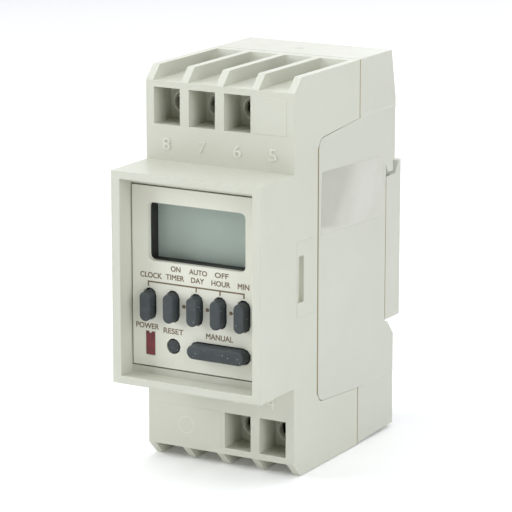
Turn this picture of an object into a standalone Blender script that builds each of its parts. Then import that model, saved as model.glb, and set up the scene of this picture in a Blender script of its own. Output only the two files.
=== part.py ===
"""DIN rail time switch, 36 mm wide, as an assembly of its separate pieces.

The design frame has x across the front, y going back from the front edge of the bezel
and z up from the lower ribs.  Sizes are in millimetres, and MM turns them into metres.
The empty "timer_frame" puts the middle of the footprint at the world's origin.
"""
import math

import bmesh
import bpy
from mathutils import Vector

MM = 0.001

# Driving dimensions
WIDTH = 36.0
HEIGHT = 86.0
DEPTH = 63.0
WALL = 1.8
GAP = 0.3
HALF = WIDTH / 2
INNER = HALF - WALL

# Front housing
BEZEL_BOTTOM = 19.9
BEZEL_TOP = 65.9
RIM_SIDE = 2.0
RIM_TOP = 1.7
PANEL_Y = 4.5
PANEL_THICK = 1.3
PANEL_LEDGE = 1.5
LEDGE_BACK = 6.6
SHOULDER_Y = 14.2
CHAMFER = 3.0
SEAM_Y = 43.5
SEAM = 0.3
ROOM_LOW = 14.6
SNAP_WINDOW_LOW = (15.9, 38.1)
SNAP_WINDOW_HIGH = (18.4, 48.1)
SNAP_WINDOW_DEEP = 1.1
PAST = 1.0

# Side tongues of the rear housing, which fill rounded cut-outs in the front housing.
# They widen towards the back, so top and bottom edges slope by these ratios.
TONGUE_Y = 24.95
TONGUE_BOTTOM = 14.45
TONGUE_TOP = 71.6
TONGUE_RISE = 0.09
TONGUE_DROP = 0.072
TONGUE_CORNER = 2.0
TONGUE_CLEARANCE = 0.15
CORNER_STEPS = 3

# Terminals: four sites above and four below, five of them live
PITCH = 8.58
LIVE = (("8", 0, True), ("7", 1, True), ("6", 2, True), ("3", 2, False), ("4", 3, False))
RIB = 1.7
RECESS_WIDTH = 6.4
RECESS_TOP = 81.6
RECESS_BOTTOM = 73.7
RECESS_BACK = 21.3
DRIVER_HOLE_R = 2.1
CHAMBER_WIDTH = 7.2
CHAMBER_TOP = 81.8
CHAMBER_BOTTOM = 73.6
CHAMBER_FRONT = 22.4
POCKET_BACK = 39.5
POCKET_BACK_TOP = 41.7
WIRE_WIDTH = 5.2
WIRE_FRONT = 33.6
WIRE_BACK = 38.5

# Screws, cages and bars inside the terminals
SCREW_HEAD_R = 2.6
SCREW_HEAD_FRONT = 22.9
SCREW_HEAD_BACK = 25.1
SCREW_R = 1.5
SCREW_TIP = 32.2
SLOT_WIDTH = 0.8
SLOT_DEPTH = 1.3
CAGE_FRONT = 28.6
CAGE_BACK = 39.6
CAGE_HALF = 3.3
CAGE_WALL = 0.6
CAGE_PLATE = 1.2
CAGE_WEB = 1.0
CAGE_BOTTOM = 74.6
CAGE_TOP = 80.6
BAR_FRONT = 32.6
BAR_THICK = 0.8
BAR_HALF = 2.4
BAR_LOW = 66.0
BAR_HIGH = 80.4
BAR_SLOT_FRONT = 31.6
BAR_SLOT_BACK = 34.0
BAR_SLOT_MARGIN = 0.5

# Rear housing and the seat for a 35 mm rail
REAR_Y = 60.2
SEAT_Y = 55.85
SEAT_BOTTOM = 25.15
SEAT_TOP = 61.4
HOOK_TIP = 59.0
REAR_CAVITY_Y = 54.1
REAR_CAVITY_DEEP = 58.4
REAR_ROOM_LOW = 2.2
REAR_ROOM_STEP = 20.8
CHANNEL_WALL = 8.3
CHANNEL_TOP = 30.0
POST_HALF = 1.4
POST_THICK = 1.6

# Latch for the rail, in a T-shaped channel
LATCH_HALF = 5.1
LATCH_FLANGE_HALF = 6.5
LATCH_FRONT = 56.7
LATCH_FLANGE_BACK = 58.1
LATCH_BACK = 59.7
LATCH_BOTTOM = 1.2
LATCH_FLANGE_TOP = 24.8
LATCH_TIP = 27.3
LATCH_TIP_FRONT = 57.6
SPRING_LOW = 9.5
SPRING_HIGH = 21.7
SPRING_R = 1.0
SPRING_WIRE_R = 0.22
SPRING_TURNS = 6
SPRING_Y = 57.9

# Rating label, let into the right side tongue
LABEL_LOW = (26.2, 50.2)
LABEL_HIGH = (53.8, 63.8)
LABEL_THICK = 0.15
LABEL_MARGIN = 0.1

# Surface mounting adapter, shaped like the rail
ADAPTER_FRONT = 56.15
ADAPTER_BOTTOM = 25.5
ADAPTER_TOP = 58.05
ADAPTER_LIP = 61.0
ADAPTER_SCREWS = ((-10.0, 43.0), (10.0, 43.0))
ADAPTER_HOLE_R = 2.2
ADAPTER_SINK_R = 4.2
ADAPTER_SINK_DEEP = 2.6

# Face panel features
WINDOW_WIDTH = 23.7
WINDOW_BOTTOM = 46.4
WINDOW_TOP = 58.95
WINDOW_CORNER = 1.2
KEY_NAMES = ("clock", "timer", "day", "hour", "minute")
KEY_FIRST_X = -11.5
KEY_PITCH = 5.72
KEY_Z = 37.0
KEY_HOLE = (3.3, 7.0)
KEY_BASE = (2.8, 6.5)
KEY_FACE = (2.6, 6.1)
KEY_FRONT = 2.3
RESET_PLACE = (-5.69, 28.35)
RESET_HOLE = 3.42
RESET_SIZE = 2.9
RESET_FRONT = 4.4
MANUAL_PLACE = (5.75, 28.35)
MANUAL_HOLE = (14.8, 3.6)
MANUAL_BASE = (14.3, 3.15)
MANUAL_FACE = (13.9, 3.05)
MANUAL_FRONT = 2.2
LED_PLACE = (-11.36, 28.37)
LED_SLOT = (2.3, 5.2)
LED_LENS = (2.2, 5.1)
LED_FRONT = 4.45
LED_BACK = 9.6
LED_LEG = 0.5
LED_LEG_OFFSET = 1.27

# Layers behind the face panel
KEY_EDGE = 0.25
FLANGE_FRONT = 6.2
FLANGE_BACK = 7.2
FLANGE_GROWTH = 1.6
STEM_SHRINK = 1.0
STEM_BACK = 11.2
MAT_FRONT = 8.6
MAT_BACK = 9.6
BOARD_FRONT = 12.5
BOARD_THICK = 1.6
POWER_BOARD_FRONT = 30.4

# Relay, on the back of the power board
RELAY_X = -8.3
RELAY_HALF = 6.2
RELAY_BOTTOM = 25.5
RELAY_TOP = 54.5
RELAY_FRONT = 34.9
RELAY_BACK = 52.5
RELAY_WALL = 0.8
COIL_Y = 41.5
COIL_R = 4.0
COIL_FLANGE_R = 4.7
COIL_BOTTOM = 30.0
COIL_TOP = 46.0
ARMATURE_Z = 48.3
ARMATURE_HINGE_Y = 48.6

ROUND_STEPS = 16
CURVE_STEPS = 5

# name: (red, green, blue, roughness, metallic)
FINISHES = {
    "housing": (0.63, 0.64, 0.58, 0.45, 0.0),
    "rear_housing": (0.60, 0.61, 0.56, 0.45, 0.0),
    "panel": (0.66, 0.66, 0.60, 0.40, 0.0),
    "clear": (0.80, 0.84, 0.82, 0.05, 0.0),
    "lcd": (0.30, 0.36, 0.31, 0.15, 0.0),
    "black_plastic": (0.02, 0.02, 0.02, 0.50, 0.0),
    "silicone": (0.10, 0.11, 0.12, 0.75, 0.0),
    "red_lens": (0.18, 0.02, 0.02, 0.20, 0.0),
    "circuit_board": (0.03, 0.20, 0.07, 0.40, 0.0),
    "steel": (0.55, 0.53, 0.50, 0.35, 1.0),
    "brass": (0.60, 0.42, 0.15, 0.35, 1.0),
    "copper": (0.60, 0.25, 0.12, 0.40, 1.0),
    "blue_film": (0.05, 0.12, 0.35, 0.40, 0.0),
    "yellow_box": (0.65, 0.50, 0.08, 0.45, 0.0),
    "ceramic": (0.45, 0.38, 0.28, 0.60, 0.0),
}


# Shape helpers: each returns a bmesh in millimetres, in the design frame

def block(low, high):
    """A rectangular solid between two opposite corners."""
    bm = bmesh.new()
    bmesh.ops.create_cube(bm, size=1.0)
    size = Vector(high) - Vector(low)
    bmesh.ops.scale(bm, vec=size, verts=bm.verts)
    bmesh.ops.translate(bm, vec=(Vector(low) + Vector(high)) / 2, verts=bm.verts)
    return bm


def upright_block(place, size, front, back):
    """A rectangular solid about a place on the face panel."""
    x, z = place
    width, height = size
    return block((x - width / 2, front, z - height / 2), (x + width / 2, back, z + height / 2))


def blocks(corner_pairs):
    """Several rectangular solids that don't touch, in one bmesh."""
    whole = bmesh.new()
    for low, high in corner_pairs:
        add_shape(whole, block(low, high))
    return whole


def add_shape(whole, bm):
    """Moves the contents of bm into whole."""
    scratch = bpy.data.meshes.new("scratch")
    bm.to_mesh(scratch)
    bm.free()
    whole.from_mesh(scratch)
    bpy.data.meshes.remove(scratch)


def extruded(outline, axis, start, end):
    """A solid with the given outline in the plane across the axis."""
    place = {
        "x": lambda a, b, along: (along, a, b),
        "y": lambda a, b, along: (a, along, b),
        "z": lambda a, b, along: (a, b, along),
    }[axis]
    bm = bmesh.new()
    near = [bm.verts.new(place(a, b, start)) for a, b in outline]
    far = [bm.verts.new(place(a, b, end)) for a, b in outline]
    bm.faces.new(near)
    bm.faces.new(far)
    for i in range(len(outline)):
        j = (i + 1) % len(outline)
        bm.faces.new((near[i], near[j], far[j], far[i]))
    bmesh.ops.recalc_face_normals(bm, faces=bm.faces)
    return bm


def rounded_outline(low, high, radius, corners, steps=CORNER_STEPS):
    """A rectangle's outline, with an arc at each corner that is True in corners.

    The corners go round anticlockwise, from the one where both coordinates are low.
    """
    centres = (
        (low[0] + radius, low[1] + radius, math.pi),
        (high[0] - radius, low[1] + radius, 1.5 * math.pi),
        (high[0] - radius, high[1] - radius, 0.0),
        (low[0] + radius, high[1] - radius, 0.5 * math.pi),
    )
    sharp = (low, (high[0], low[1]), high, (low[0], high[1]))
    outline = []
    for centre, corner, is_round in zip(centres, sharp, corners):
        if not is_round:
            outline.append(corner)
            continue
        for i in range(steps + 1):
            angle = centre[2] + 0.5 * math.pi * i / steps
            outline.append((centre[0] + radius * math.cos(angle), centre[1] + radius * math.sin(angle)))
    return outline


def long_round(size, place=(0.0, 0.0), steps=CURVE_STEPS):
    """The outline of a slot with round ends, or of a circle where both sizes are equal."""
    width, height = size
    radius = min(width, height) / 2
    run_x = width / 2 - radius
    run_z = height / 2 - radius
    if run_x == 0 and run_z == 0:
        turns = 2 * steps + 2
        angles = [2 * math.pi * i / turns for i in range(turns)]
        return [(place[0] + radius * math.cos(a), place[1] + radius * math.sin(a)) for a in angles]
    start = -math.pi / 2 if run_x else 0.0
    outline = []
    for side in (1, -1):
        for i in range(steps + 1):
            angle = start + math.pi * i / steps + (0.0 if side == 1 else math.pi)
            outline.append((
                place[0] + side * run_x + radius * math.cos(angle),
                place[1] + side * run_z + radius * math.sin(angle),
            ))
    return outline


def stacked(place, layers):
    """A solid along y through layers of (y, size), each a slot or a circle about place."""
    bm = bmesh.new()
    rings = []
    for y, size in layers:
        rings.append([bm.verts.new((x, y, z)) for x, z in long_round(size, place)])
    bm.faces.new(rings[0])
    bm.faces.new(rings[-1])
    for near, far in zip(rings, rings[1:]):
        for i in range(len(near)):
            j = (i + 1) % len(near)
            bm.faces.new((near[i], near[j], far[j], far[i]))
    bmesh.ops.recalc_face_normals(bm, faces=bm.faces)
    return bm


def turned(profile, axis, centre, steps=ROUND_STEPS):
    """A round solid about the axis through centre, from (distance along, radius) points."""
    turn = [2 * math.pi * i / steps for i in range(steps)]
    bm = bmesh.new()
    rings = []
    for along, radius in profile:
        ring = []
        for angle in turn:
            a = radius * math.cos(angle)
            b = radius * math.sin(angle)
            offset = {"x": (along, a, b), "y": (a, along, b), "z": (a, b, along)}[axis]
            ring.append(bm.verts.new(Vector(centre) + Vector(offset)))
        rings.append(ring)
    bm.faces.new(rings[0])
    bm.faces.new(rings[-1])
    for near, far in zip(rings, rings[1:]):
        for i in range(steps):
            j = (i + 1) % steps
            bm.faces.new((near[i], near[j], far[j], far[i]))
    bmesh.ops.recalc_face_normals(bm, faces=bm.faces)
    return bm


# Object helpers

def clear_scene():
    for obj in list(bpy.data.objects):
        bpy.data.objects.remove(obj)


def make_frame():
    """The empty that every piece hangs from."""
    frame = bpy.data.objects.new("timer_frame", None)
    frame.location = (0.0, -DEPTH / 2 * MM, 0.0)
    bpy.context.scene.collection.objects.link(frame)
    return frame


def material(name, finish):
    red, green, blue, roughness, metallic = FINISHES[finish]
    made = bpy.data.materials.new(name)
    made.use_nodes = True
    shader = made.node_tree.nodes["Principled BSDF"]
    shader.inputs["Base Color"].default_value = (red, green, blue, 1.0)
    shader.inputs["Roughness"].default_value = roughness
    shader.inputs["Metallic"].default_value = metallic
    return made


def piece(name, bm, finish, pivot=(0.0, 0.0, 0.0), smooth=False):
    """A named object, with its origin at pivot, from a bmesh in millimetres."""
    bmesh.ops.translate(bm, vec=-Vector(pivot), verts=bm.verts)
    bmesh.ops.scale(bm, vec=(MM, MM, MM), verts=bm.verts)
    mesh = bpy.data.meshes.new(name)
    bm.to_mesh(mesh)
    bm.free()
    if smooth:
        mesh.shade_smooth()
        mesh.set_sharp_from_angle(angle=math.radians(35))
    mesh.materials.append(material(name, finish))
    obj = bpy.data.objects.new(name, mesh)
    obj.location = Vector(pivot) * MM
    obj.parent = bpy.data.objects["timer_frame"]
    bpy.context.scene.collection.objects.link(obj)
    return obj


def combine(target, bm, operation):
    """Cuts the shape away from target, or joins it on, and keeps the result as its mesh."""
    tool = piece(target.name + "_tool", bm, "steel")
    tool.hide_render = True
    tool.display_type = "WIRE"
    boolean = target.modifiers.new("combine", "BOOLEAN")
    boolean.operation = operation
    boolean.object = tool
    bpy.context.view_layer.update()
    seen = target.evaluated_get(bpy.context.evaluated_depsgraph_get())
    result = bpy.data.meshes.new_from_object(seen)
    target.modifiers.clear()
    target.data = result
    bpy.data.objects.remove(tool)


def cut(target, bm):
    combine(target, bm, "DIFFERENCE")


def join(target, bm):
    combine(target, bm, "UNION")


def both_sides(x_low, x_high):
    """The x range on the right, and its mirror image on the left."""
    return ((x_low, x_high), (-x_high, -x_low))


def site_x(index):
    """The middle of a terminal site, counted from the left."""
    return (index - 1.5) * PITCH


def across(index, width):
    """The x range of a feature of this width at a terminal site."""
    return (site_x(index) - width / 2, site_x(index) + width / 2)


def level(z, upper):
    """A height in the upper row, or its mirror image in the lower row."""
    return z if upper else HEIGHT - z


def span(z_low, z_high, upper):
    """A range of heights, lowest first, in the upper or the lower row."""
    return sorted((level(z_low, upper), level(z_high, upper)))


# Housing

def tongue_outline(margin):
    """The rounded side tongue, made larger or smaller all round by margin."""
    low = (TONGUE_Y - margin, TONGUE_BOTTOM - margin)
    high = (SEAM_Y + SEAM + WALL, TONGUE_TOP + margin)
    level_edges = rounded_outline(low, high, TONGUE_CORNER, (True, False, False, True))
    outline = []
    for y, z in level_edges:
        slope = TONGUE_RISE if z > HEIGHT / 2 else -TONGUE_DROP
        outline.append((y, z + slope * (y - TONGUE_Y)))
    return outline


def make_front_case():
    """Bezel, body, terminal shoulders and wire pockets in one moulding."""
    back = SEAM_Y - SEAM / 2
    outline = [
        (0.0, BEZEL_BOTTOM), (0.0, BEZEL_TOP), (SHOULDER_Y, BEZEL_TOP),
        (SHOULDER_Y, HEIGHT - CHAMFER), (SHOULDER_Y + CHAMFER, HEIGHT), (back, HEIGHT),
        (back, 0.0), (SHOULDER_Y + CHAMFER, 0.0), (SHOULDER_Y, CHAMFER), (SHOULDER_Y, BEZEL_BOTTOM),
    ]
    case = piece("front_case", extruded(outline, "x", -HALF, HALF), "housing")
    cut_inside(case)
    cut_terminals(case)


def cut_inside(case):
    """The room behind the face panel, the snap pockets and the cut-outs for the side tongues."""
    low = BEZEL_BOTTOM + RIM_TOP
    high = BEZEL_TOP - RIM_TOP
    shelf = SHOULDER_Y + WALL
    room_high = HEIGHT - ROOM_LOW
    room = [
        (LEDGE_BACK, low), (LEDGE_BACK, high), (shelf, high), (shelf, room_high),
        (SEAM_Y + PAST, room_high), (SEAM_Y + PAST, ROOM_LOW), (shelf, ROOM_LOW), (shelf, low),
    ]
    cut(case, extruded(room, "x", -INNER, INNER))
    rim = HALF - RIM_SIDE
    cut(case, block((-rim, -PAST, low), (rim, PANEL_Y, high)))
    opening_low = (-rim, PANEL_Y - PAST, low + PANEL_LEDGE)
    opening_high = (rim, LEDGE_BACK + PAST, high - PANEL_LEDGE)
    cut(case, block(opening_low, opening_high))
    for x_low, x_high in both_sides(INNER - PAST, HALF + PAST):
        cut(case, extruded(tongue_outline(TONGUE_CLEARANCE), "x", x_low, x_high))
    windows = [
        ((x_low, *SNAP_WINDOW_LOW), (x_high, *SNAP_WINDOW_HIGH))
        for x_low, x_high in both_sides(HALF - SNAP_WINDOW_DEEP, HALF + PAST)
    ]
    cut(case, blocks(windows))


def cut_terminals(case):
    """The pockets between the ribs, then the chambers, recesses and holes of the terminals."""
    cut_pockets(case)
    chambers = []
    for upper in (True, False):
        low, high = span(CHAMBER_BOTTOM, CHAMBER_TOP, upper)
        for index in range(4):
            x_low, x_high = across(index, CHAMBER_WIDTH)
            chambers.append(((x_low, CHAMBER_FRONT, low), (x_high, SEAM_Y + PAST, high)))
    cut(case, blocks(chambers))
    recesses = []
    wire_holes = []
    bar_slots = []
    for label, index, upper in LIVE:
        x_low, x_high = across(index, RECESS_WIDTH)
        low, high = span(RECESS_BOTTOM, RECESS_TOP, upper)
        recesses.append(((x_low, SHOULDER_Y - PAST, low), (x_high, RECESS_BACK, high)))
        x_low, x_high = across(index, WIRE_WIDTH)
        low, high = span(CHAMBER_TOP - PAST, HEIGHT - CHAMFER + PAST, upper)
        wire_holes.append(((x_low, WIRE_FRONT, low), (x_high, WIRE_BACK, high)))
        x_low, x_high = across(index, 2 * (BAR_HALF + BAR_SLOT_MARGIN))
        low, high = span(HEIGHT - ROOM_LOW - PAST, CHAMBER_BOTTOM + PAST, upper)
        bar_slots.append(((x_low, BAR_SLOT_FRONT, low), (x_high, BAR_SLOT_BACK, high)))
    cut(case, blocks(recesses))
    cut(case, blocks(wire_holes))
    cut(case, blocks(bar_slots))
    for label, index, upper in LIVE:
        centre = (site_x(index), 0.0, level((RECESS_TOP + RECESS_BOTTOM) / 2, upper))
        hole = ((RECESS_BACK - PAST, DRIVER_HOLE_R), (CHAMBER_FRONT + PAST, DRIVER_HOLE_R))
        cut(case, turned(hole, "y", centre))


def cut_pockets(case):
    """The pockets between the ribs, open at the top or foot and at the front."""
    front = SHOULDER_Y - PAST
    for upper in (True, False):
        mouth = level(HEIGHT + PAST, upper)
        floor = level(HEIGHT - CHAMFER, upper)
        outline = [(front, floor), (POCKET_BACK, floor), (POCKET_BACK_TOP, mouth), (front, mouth)]
        for index in range(4):
            cut(case, extruded(outline, "x", *across(index, PITCH - RIB)))


def make_rear_case():
    """Back shell with the rail seat, the fixed hook, the latch channel and the side tongues."""
    front = SEAM_Y + SEAM / 2
    outline = [
        (front, 0.3), (60.45, 0.75), (REAR_Y, 13.4), (REAR_Y, 21.5), (59.6, 22.3), (57.6, 24.6),
        (56.9, 25.1), (SEAT_Y, SEAT_BOTTOM), (SEAT_Y, 61.1), (56.66, HOOK_TIP + 0.05), (59.2, HOOK_TIP),
        (59.3, SEAT_TOP), (60.1, SEAT_TOP), (60.05, 73.2), (60.5, 73.5), (60.45, 75.2), (58.4, HEIGHT),
        (front, HEIGHT),
    ]
    case = piece("rear_case", extruded(outline, "x", -HALF, HALF), "rear_housing")
    room = [
        (front - PAST, REAR_ROOM_LOW), (REAR_CAVITY_Y, REAR_ROOM_LOW),
        (REAR_CAVITY_Y, 62.9), (58.3, 62.9),
        (REAR_CAVITY_DEEP, 75.0), (56.9, HEIGHT - WALL), (front - PAST, HEIGHT - WALL),
    ]
    cut(case, extruded(room, "x", -INNER, INNER))
    beside_latch = [
        ((x_low, REAR_CAVITY_Y - PAST, REAR_ROOM_LOW), (x_high, REAR_CAVITY_DEEP, REAR_ROOM_STEP))
        for x_low, x_high in both_sides(CHANNEL_WALL, INNER)
    ]
    cut(case, blocks(beside_latch))
    cut_latch_channel(case)
    for x_low, x_high in both_sides(INNER, HALF):
        join(case, extruded(tongue_outline(0.0), "x", x_low, x_high))
    make_label(case)


def cut_latch_channel(case):
    """The T-shaped channel, and the post that the spring stands on."""
    channel = LATCH_FLANGE_HALF + GAP
    slit = LATCH_HALF + GAP
    flange_low = (-channel, LATCH_FRONT - GAP, -PAST)
    flange_high = (channel, LATCH_FLANGE_BACK + GAP, CHANNEL_TOP)
    cut(case, block(flange_low, flange_high))
    cut(case, block((-slit, LATCH_FLANGE_BACK - GAP, -PAST), (slit, REAR_Y + PAST, CHANNEL_TOP)))
    post_low = (-POST_HALF, LATCH_FRONT - 2 * GAP, SPRING_LOW - GAP - POST_THICK)
    post_high = (POST_HALF, LATCH_BACK - 2 * GAP, SPRING_LOW - GAP)
    join(case, block(post_low, post_high))


def make_label(case):
    """A blank film, let into a shallow recess in the right side."""
    front, low = LABEL_LOW
    back, high = LABEL_HIGH
    floor = HALF - LABEL_THICK - GAP
    recess_low = (floor, front - LABEL_MARGIN, low - LABEL_MARGIN)
    recess_high = (HALF + PAST, back + LABEL_MARGIN, high + LABEL_MARGIN)
    cut(case, block(recess_low, recess_high))
    film = block((HALF - LABEL_THICK, front, low), (HALF, back, high))
    piece("rating_label", film, "clear")


# Display and keys

def key_x(index):
    return KEY_FIRST_X + index * KEY_PITCH


def key_sites():
    """Every key as (name, place, hole, base, face, front)."""
    sites = [
        (name + "_button", (key_x(i), KEY_Z), KEY_HOLE, KEY_BASE, KEY_FACE, KEY_FRONT)
        for i, name in enumerate(KEY_NAMES)
    ]
    round_hole = (RESET_HOLE, RESET_HOLE)
    round_size = (RESET_SIZE, RESET_SIZE)
    sites.append(("reset_button", RESET_PLACE, round_hole, round_size, round_size, RESET_FRONT))
    sites.append(("manual_button", MANUAL_PLACE, MANUAL_HOLE, MANUAL_BASE, MANUAL_FACE, MANUAL_FRONT))
    return sites


def grown(size, amount):
    return (size[0] + amount, size[1] + amount)


def make_face_panel():
    half = HALF - RIM_SIDE - GAP
    low = BEZEL_BOTTOM + RIM_TOP + PANEL_LEDGE + GAP
    high = BEZEL_TOP - RIM_TOP - PANEL_LEDGE - GAP
    back = PANEL_Y + PANEL_THICK
    panel = piece("face_panel", block((-half, PANEL_Y, low), (half, back, high)), "panel")
    corner_low = (-WINDOW_WIDTH / 2, WINDOW_BOTTOM)
    corner_high = (WINDOW_WIDTH / 2, WINDOW_TOP)
    window = rounded_outline(corner_low, corner_high, WINDOW_CORNER, (True, True, True, True))
    cut(panel, extruded(window, "y", PANEL_Y - PAST, back + PAST))
    for name, place, hole, base, face, front in key_sites():
        cut(panel, extruded(long_round(hole, place), "y", PANEL_Y - PAST, back + PAST))
    cut(panel, upright_block(LED_PLACE, LED_SLOT, PANEL_Y - PAST, back + PAST))


def make_display():
    """Clear pane, black frame, liquid crystal cell and the conductive strip that feeds it."""
    half = WINDOW_WIDTH / 2 + 0.1
    low = WINDOW_BOTTOM - 0.1
    high = WINDOW_TOP + 0.1
    frame = piece("lcd_frame", block((-14.4, 6.1, 44.1), (14.4, 12.0, 61.5)), "black_plastic")
    cut(frame, block((-half, 6.1 - PAST, low), (half, 10.0, high)))
    cut(frame, block((-13.9, 9.0, 44.6), (13.9, 12.0 + PAST, 61.0)))
    pane = block((GAP - half, 8.2, low + GAP), (half - GAP, 8.8, high - GAP))
    piece("display_window", pane, "clear")
    piece("lcd_cell", block((-13.6, 9.3, 44.9), (13.6, 10.9, 60.7)), "lcd")
    piece("contact_strip", block((-12.5, 11.1, 45.2), (12.5, 12.2, 47.2)), "silicone")


def make_keys():
    """Seven rubber keys, each with a flange behind the panel and a stem towards the board."""
    mat = piece("keypad_mat", block((-15.4, MAT_FRONT, 24.0), (15.4, MAT_BACK, 43.4)), "silicone")
    for name, place, hole, base, face, front in key_sites():
        stem = grown(base, -STEM_SHRINK)
        flange = grown(base, FLANGE_GROWTH)
        softened = grown(face, -2 * KEY_EDGE)
        layers = [
            (front, softened), (front + KEY_EDGE, face), (FLANGE_FRONT - KEY_EDGE, base), (FLANGE_FRONT, base),
            (FLANGE_FRONT, flange), (FLANGE_BACK, flange), (FLANGE_BACK, stem), (STEM_BACK, stem),
        ]
        piece(name, stacked(place, layers), "silicone", (place[0], FLANGE_BACK, place[1]), smooth=True)
        hole = long_round(grown(stem, 2 * GAP), place)
        cut(mat, extruded(hole, "y", MAT_FRONT - PAST, MAT_BACK + PAST))
    lamp_hole = grown(LED_SLOT, 1.0)
    cut(mat, upright_block(LED_PLACE, lamp_hole, MAT_FRONT - PAST, MAT_BACK + PAST))


def make_led():
    """Rectangular lamp, flush with the panel, on two legs."""
    x, z = LED_PLACE
    led = piece("power_led", upright_block(LED_PLACE, LED_LENS, LED_FRONT, LED_BACK), "red_lens")
    for offset in (-LED_LEG_OFFSET, LED_LEG_OFFSET):
        leg = upright_block((x, z + offset), (LED_LEG, LED_LEG), LED_BACK - 0.6, BOARD_FRONT - GAP)
        join(led, leg)


def make_display_board():
    back = BOARD_FRONT + BOARD_THICK
    piece("display_board", block((-15.6, BOARD_FRONT, 22.2), (15.6, back, 63.6)), "circuit_board")
    seat = back + GAP
    piece("controller_chip", block((-6, seat, 33), (6, seat + 1.6, 45)), "black_plastic")
    crystal = turned(((30.0, 1.0), (37.0, 1.0)), "z", (11.0, seat + 1.1, 0.0), 10)
    piece("quartz_crystal", crystal, "steel", smooth=True)
    holder = piece("battery_holder", block((-14.8, seat, 47.6), (-1.2, seat + 4.0, 61.4)), "black_plastic")
    cell_centre = (0.0, seat + 6.4, 54.5)
    cut(holder, turned(((-15.5, 5.4), (-0.5, 5.4)), "x", cell_centre, 20))
    cell = ((-14.4, 5.0), (-2.6, 5.0), (-2.6, 1.6), (-1.6, 1.6))
    piece("backup_battery", turned(cell, "x", cell_centre, 20), "steel", smooth=True)
    low = back + GAP
    high = POWER_BOARD_FRONT - GAP
    header = piece("board_connector", block((1.0, low, 24.2), (14.0, low + 2.5, 26.8)), "black_plastic")
    for i in range(5):
        x = 2.5 + 2.5 * i
        join(header, block((x - 0.3, low + 1.0, 25.2), (x + 0.3, high, 25.8)))


# Power section

def make_power_board():
    back = POWER_BOARD_FRONT + BOARD_THICK
    piece("power_board", block((-15.8, POWER_BOARD_FRONT, 15.2), (15.8, back, 70.8)), "circuit_board")
    seat = back + GAP
    box = block((1.2, seat, 43.0), (14.6, seat + 14.0, 61.5))
    bmesh.ops.bevel(
        box, geom=box.edges, offset=0.6, segments=1, affect="EDGES", profile=0.5, material=-1,
    )
    piece("mains_capacitor", box, "yellow_box")
    can = ((0.0, 4.7), (0.5, 5.0), (15.5, 5.0), (16.0, 4.7))
    piece("smoothing_capacitor", turned(can, "y", (8.2, seat, 36.4)), "blue_film", smooth=True)
    disc = ((2.2, 3.6), (3.0, 4.4), (5.2, 4.4), (6.0, 3.6))
    piece("varistor", turned(disc, "x", (0.0, seat + 4.6, 25.4)), "blue_film", smooth=True)
    rod = (
        (21.0, 1.6), (22.0, 2.1), (24.0, 2.1), (24.4, 1.8),
        (28.4, 1.8), (28.8, 2.1), (30.2, 2.1), (30.6, 1.6),
    )
    piece("fuse_resistor", turned(rod, "z", (12.0, seat + 2.4, 0.0), 12), "ceramic", smooth=True)


def make_relay():
    """Open-type relay under a cover: coil, yoke, hinged armature and the fixed contact."""
    seat = POWER_BOARD_FRONT + BOARD_THICK + GAP
    left = RELAY_X - RELAY_HALF
    right = RELAY_X + RELAY_HALF
    base = block((left, seat, RELAY_BOTTOM), (right, RELAY_FRONT - GAP, RELAY_TOP))
    piece("relay_base", base, "black_plastic")
    outer = block((left, RELAY_FRONT, RELAY_BOTTOM), (right, RELAY_BACK, RELAY_TOP))
    cover = piece("relay_cover", outer, "black_plastic")
    wall = RELAY_WALL
    inner_low = (left + wall, RELAY_FRONT - PAST, RELAY_BOTTOM + wall)
    inner_high = (right - wall, RELAY_BACK - wall, RELAY_TOP - wall)
    cut(cover, block(inner_low, inner_high))
    core = (
        (COIL_BOTTOM, COIL_FLANGE_R), (COIL_BOTTOM + 0.8, COIL_FLANGE_R), (COIL_BOTTOM + 0.8, COIL_R),
        (COIL_TOP - 0.8, COIL_R), (COIL_TOP - 0.8, COIL_FLANGE_R), (COIL_TOP, COIL_FLANGE_R),
        (COIL_TOP, 2.2), (COIL_TOP + 0.6, 2.2),
    )
    piece("relay_coil", turned(core, "z", (RELAY_X, COIL_Y, 0.0)), "copper", smooth=True)
    yoke = [
        (COIL_Y - 4.5, COIL_BOTTOM - 1.5), (48.8, COIL_BOTTOM - 1.5), (48.8, ARMATURE_Z - 1.2),
        (47.6, ARMATURE_Z - 1.2), (47.6, COIL_BOTTOM - GAP), (COIL_Y - 4.5, COIL_BOTTOM - GAP),
    ]
    piece("relay_yoke", extruded(yoke, "x", RELAY_X - 4.0, RELAY_X + 4.0), "steel")
    blade = [
        (35.6, ARMATURE_Z - 0.5), (ARMATURE_HINGE_Y + 0.3, ARMATURE_Z - 0.5),
        (ARMATURE_HINGE_Y + 0.3, ARMATURE_Z + 0.5), (35.6, ARMATURE_Z + 0.5),
    ]
    pivot = (RELAY_X, ARMATURE_HINGE_Y, ARMATURE_Z)
    piece("relay_armature", extruded(blade, "x", RELAY_X - 3.6, RELAY_X + 3.6), "steel", pivot)
    contact = [(35.2, 40.0), (35.6, 40.0), (35.6, 45.8), (36.4, 45.8), (36.4, 46.2), (35.2, 46.2)]
    piece("relay_contact", extruded(contact, "x", RELAY_X - 1.6, RELAY_X + 1.6), "brass")


# Terminals

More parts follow.
